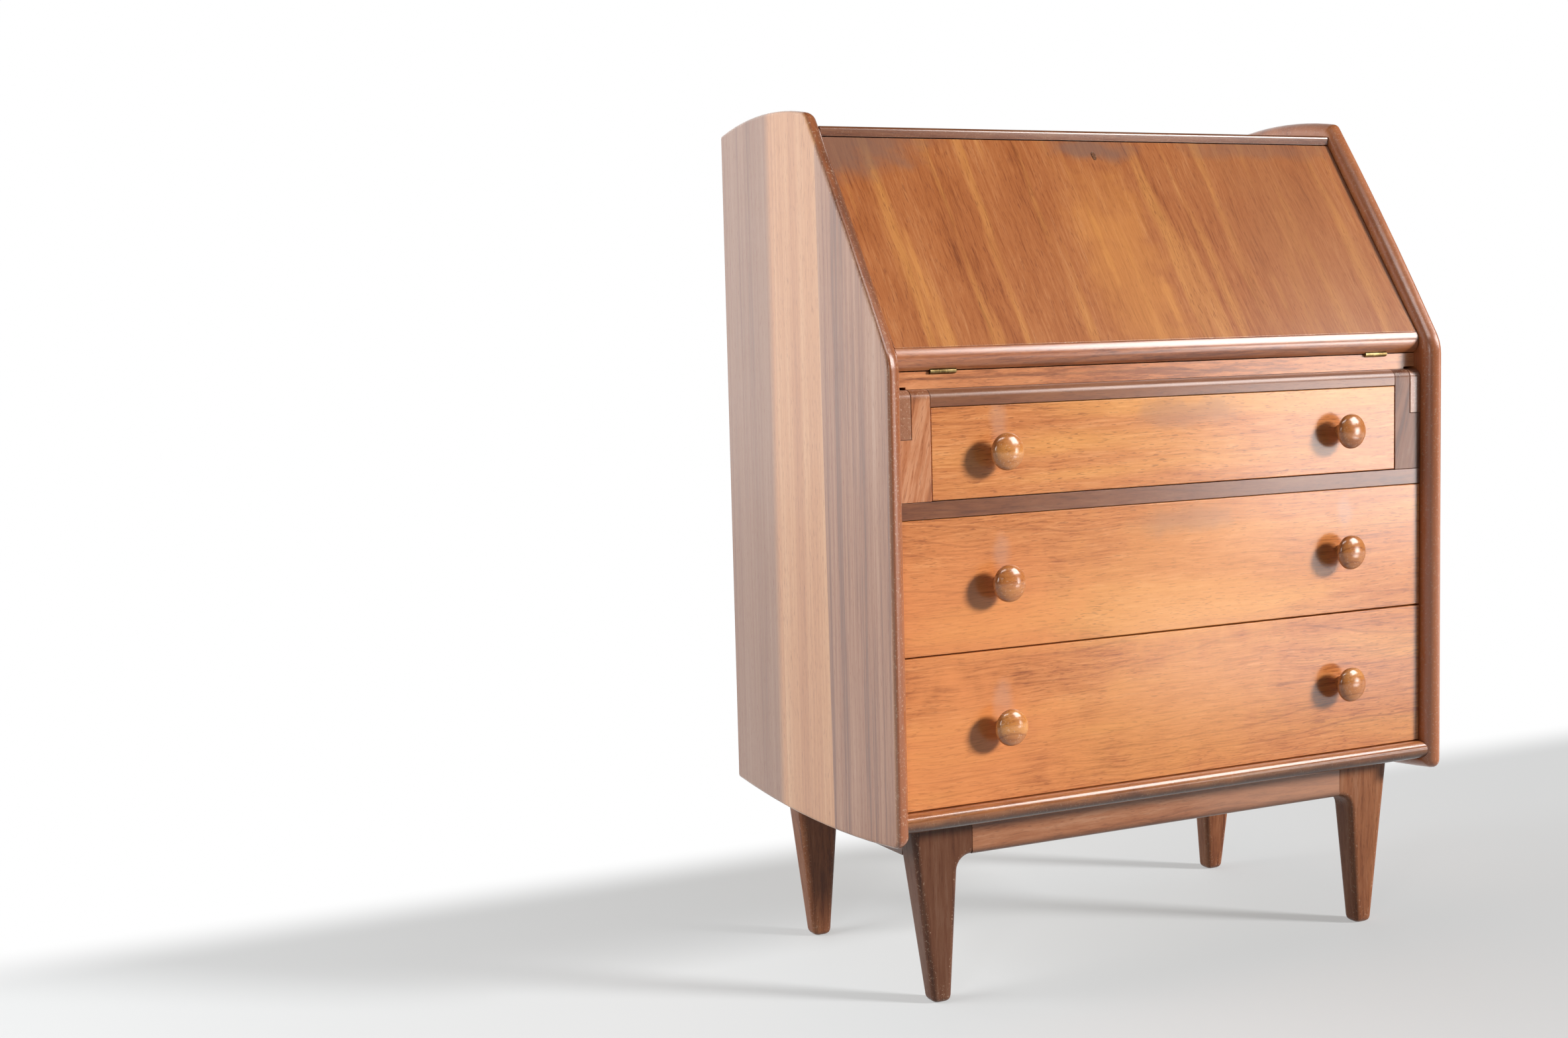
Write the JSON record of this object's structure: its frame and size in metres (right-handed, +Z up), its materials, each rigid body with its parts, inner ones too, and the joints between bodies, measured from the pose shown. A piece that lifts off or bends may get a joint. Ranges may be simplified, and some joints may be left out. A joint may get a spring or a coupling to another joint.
{
  "type": "bureau cabinet",
  "caption": "Mid-century teak bureau: sloping fall front over three knobbed drawers, swept sides with rounded edges, tapered legs, pull-out lopers and pigeonholes inside.",
  "frame": {"origin": "on the floor, under the middle of the whole closed bureau's box", "axes": "+Z up, +X to the right of someone who faces the drawers, -Y out of the front, +Y to the back"},
  "size_m": [0.76, 0.4186, 0.9987],
  "materials": {
    "front_veneer": "satin",
    "side_veneer": "satin",
    "solid_teak": "satin",
    "pale_wood": "matte",
    "plywood": "matte",
    "brass": "satin"
  },
  "bodies": {
    "carcass": {"side_left": "side_veneer", "side_right": "side_veneer", "back_panel": "plywood", "bottom_board": "pale_wood", "desk_floor": "front_veneer", "top_board": "solid_teak", "bottom_rail": "solid_teak", "middle_rail": "solid_teak", "top_rail": "solid_teak", "hinge_rail": "solid_teak", "stile_left": "solid_teak", "loper_guide_left": "pale_wood", "middle_drawer_runner_left": "pale_wood", "bottom_drawer_runner_left": "pale_wood", "hinge_leaf_rail_left": "brass", "hinge_pin_left": "brass", "leg_front_left": "solid_teak", "leg_back_left": "solid_teak", "side_stretcher_left": "solid_teak", "pigeonhole_divider_left": "front_veneer", "stile_right": "solid_teak", "loper_guide_right": "pale_wood", "middle_drawer_runner_right": "pale_wood", "bottom_drawer_runner_right": "pale_wood", "hinge_leaf_rail_right": "brass", "hinge_pin_right": "brass", "leg_front_right": "solid_teak", "leg_back_right": "solid_teak", "side_stretcher_right": "solid_teak", "pigeonhole_divider_right": "front_veneer", "front_apron": "solid_teak", "back_apron": "solid_teak", "pigeonhole_shelf": "front_veneer"},
    "fall": {"fall_panel": "front_veneer", "fall_lipping": "solid_teak", "hinge_leaf_fall_left": "brass", "hinge_leaf_fall_right": "brass"},
    "left_loper": {"loper_left": "solid_teak"},
    "right_loper": {"loper_right": "solid_teak"},
    "top_drawer": {"top_drawer_front": "front_veneer", "top_drawer_side_left": "pale_wood", "top_drawer_side_right": "pale_wood", "top_drawer_back": "pale_wood", "top_drawer_bottom": "plywood", "top_drawer_knob_left": "solid_teak", "top_drawer_knob_right": "solid_teak"},
    "middle_drawer": {"middle_drawer_front": "front_veneer", "middle_drawer_side_left": "pale_wood", "middle_drawer_side_right": "pale_wood", "middle_drawer_back": "pale_wood", "middle_drawer_bottom": "plywood", "middle_drawer_knob_left": "solid_teak", "middle_drawer_knob_right": "solid_teak"},
    "bottom_drawer": {"bottom_drawer_front": "front_veneer", "bottom_drawer_side_left": "pale_wood", "bottom_drawer_side_right": "pale_wood", "bottom_drawer_back": "pale_wood", "bottom_drawer_bottom": "plywood", "bottom_drawer_knob_left": "solid_teak", "bottom_drawer_knob_right": "solid_teak"}
  },
  "joints": [
    {"name": "fall_hinge", "type": "hinge", "parent": "carcass", "child": "fall", "pos_m": [0, -0.17085, 0.702], "axis": [1, 0, 0], "range_deg": [0, 124]},
    {"name": "top_drawer_slide", "type": "slide", "parent": "carcass", "child": "top_drawer", "axis": [0, -1, 0], "range_m": [0, 0.25]},
    {"name": "middle_drawer_slide", "type": "slide", "parent": "carcass", "child": "middle_drawer", "axis": [0, -1, 0], "range_m": [0, 0.25]},
    {"name": "bottom_drawer_slide", "type": "slide", "parent": "carcass", "child": "bottom_drawer", "axis": [0, -1, 0], "range_m": [0, 0.25]},
    {"name": "left_loper_slide", "type": "slide", "parent": "carcass", "child": "left_loper", "axis": [0, -1, 0], "range_m": [0, 0.215]},
    {"name": "right_loper_slide", "type": "slide", "parent": "carcass", "child": "right_loper", "axis": [0, -1, 0], "range_m": [0, 0.215]}
  ]
}
